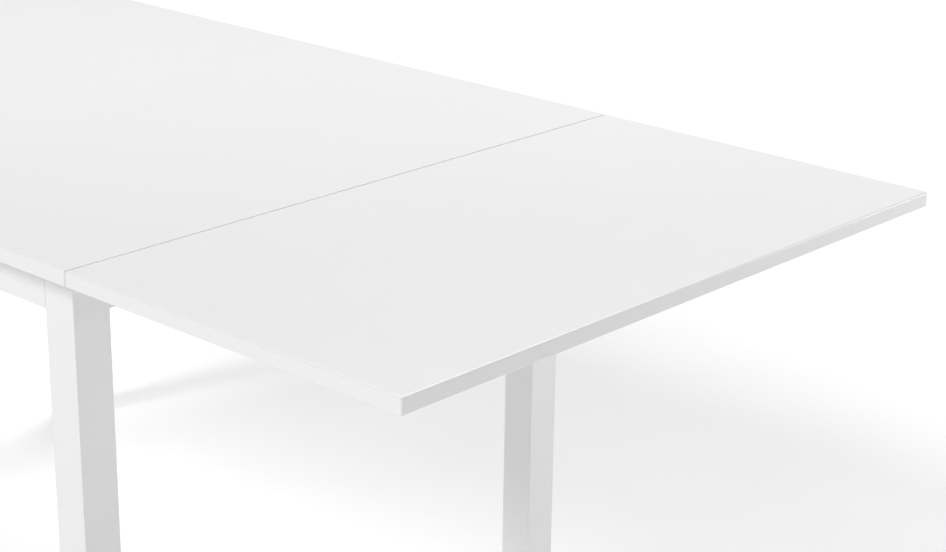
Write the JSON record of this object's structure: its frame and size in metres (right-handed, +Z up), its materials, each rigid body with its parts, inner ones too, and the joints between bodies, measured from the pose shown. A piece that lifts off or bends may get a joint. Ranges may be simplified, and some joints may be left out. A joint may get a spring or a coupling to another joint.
{
  "type": "drop-leaf dining table",
  "caption": "Rectangular lacquered table on square corner legs with a hinged end leaf that swings up level with the top on folding stays.",
  "frame": {"origin": "on the floor under the middle of the whole table, its leaf raised", "axes": "+X along the table towards the leaf, +Y across it, +Z up"},
  "size_m": [1.7, 0.9, 0.75],
  "materials": {
    "lacquer": "satin white lacquer on smooth board and solid legs",
    "beech": "plain beech dowel",
    "plated_steel": "satin nickel plate",
    "zinc_steel": "zinc plate",
    "bright_steel": "zinc plated fastener",
    "nylon": "moulded off-white nylon"
  },
  "bodies": {
    "frame": {"apron_dowels": "beech", "corner_plate_head_far": "zinc_steel", "corner_plate_head_near": "zinc_steel", "corner_plate_leaf_far": "zinc_steel", "corner_plate_leaf_near": "zinc_steel", "corner_plate_screws": "bright_steel", "end_apron_head": "lacquer", "end_apron_leaf": "lacquer", "foot_glide_head_far": "nylon", "foot_glide_head_near": "nylon", "foot_glide_leaf_far": "nylon", "foot_glide_leaf_near": "nylon", "hanger_bolts": "bright_steel", "hanger_nuts": "bright_steel", "hanger_washers": "bright_steel", "hinge_fixed_plate_far": "plated_steel", "hinge_fixed_plate_middle": "plated_steel", "hinge_fixed_plate_near": "plated_steel", "hinge_pin_far": "bright_steel", "hinge_pin_middle": "bright_steel", "hinge_pin_near": "bright_steel", "hinge_screws_top": "bright_steel", "leg_head_far": "lacquer", "leg_head_near": "lacquer", "leg_leaf_far": "lacquer", "leg_leaf_near": "lacquer", "main_top": "lacquer", "side_apron_far": "lacquer", "side_apron_near": "lacquer", "stay_frame_bracket_far": "plated_steel", "stay_frame_bracket_near": "plated_steel", "stay_frame_rivets": "bright_steel", "stay_frame_washers": "nylon", "stay_screws_frame": "bright_steel", "tabletop_clip_screws": "bright_steel", "tabletop_clips": "zinc_steel"},
    "leaf": {"drop_leaf": "lacquer", "hinge_leaf_plate_far": "plated_steel", "hinge_leaf_plate_middle": "plated_steel", "hinge_leaf_plate_near": "plated_steel", "hinge_screws_leaf": "bright_steel", "stay_leaf_bracket_far": "plated_steel", "stay_leaf_bracket_near": "plated_steel", "stay_leaf_rivets": "bright_steel", "stay_leaf_washers": "nylon", "stay_screws_leaf": "bright_steel"},
    "stay_arm_near": {"stay_arm_near": "plated_steel", "stay_knee_rivet_near": "bright_steel", "stay_knee_washer_near": "nylon"},
    "stay_arm_far": {"stay_arm_far": "plated_steel", "stay_knee_rivet_far": "bright_steel", "stay_knee_washer_far": "nylon"},
    "stay_link_near": {"stay_link_near": "plated_steel"},
    "stay_link_far": {"stay_link_far": "plated_steel"}
  },
  "joints": [
    {"name": "leaf_fold", "type": "hinge", "parent": "frame", "child": "leaf", "pos_m": [0.35, 0, 0.7285], "axis": [0, 1, 0], "range_deg": [0, 90]},
    {"name": "stay_arm_near_turn", "type": "hinge", "parent": "frame", "child": "stay_arm_near", "pos_m": [0.32, -0.1835, 0.6935], "axis": [0, 1, 0], "range_deg": [0, 90]},
    {"name": "stay_link_near_turn", "type": "hinge", "parent": "leaf", "child": "stay_link_near", "pos_m": [0.63, -0.1835, 0.7165], "axis": [0, 1, 0], "range_deg": [-90, 0]},
    {"name": "stay_arm_far_turn", "type": "hinge", "parent": "frame", "child": "stay_arm_far", "pos_m": [0.32, 0.1835, 0.6935], "axis": [0, 1, 0], "range_deg": [0, 90]},
    {"name": "stay_link_far_turn", "type": "hinge", "parent": "leaf", "child": "stay_link_far", "pos_m": [0.63, 0.1835, 0.7165], "axis": [0, 1, 0], "range_deg": [-90, 0]}
  ],
  "couplings": [
    {"joint": "stay_arm_near_turn", "follows": "leaf_fold", "ratio": 1},
    {"joint": "stay_link_near_turn", "follows": "leaf_fold", "ratio": -1},
    {"joint": "stay_arm_far_turn", "follows": "leaf_fold", "ratio": 1},
    {"joint": "stay_link_far_turn", "follows": "leaf_fold", "ratio": -1}
  ]
}
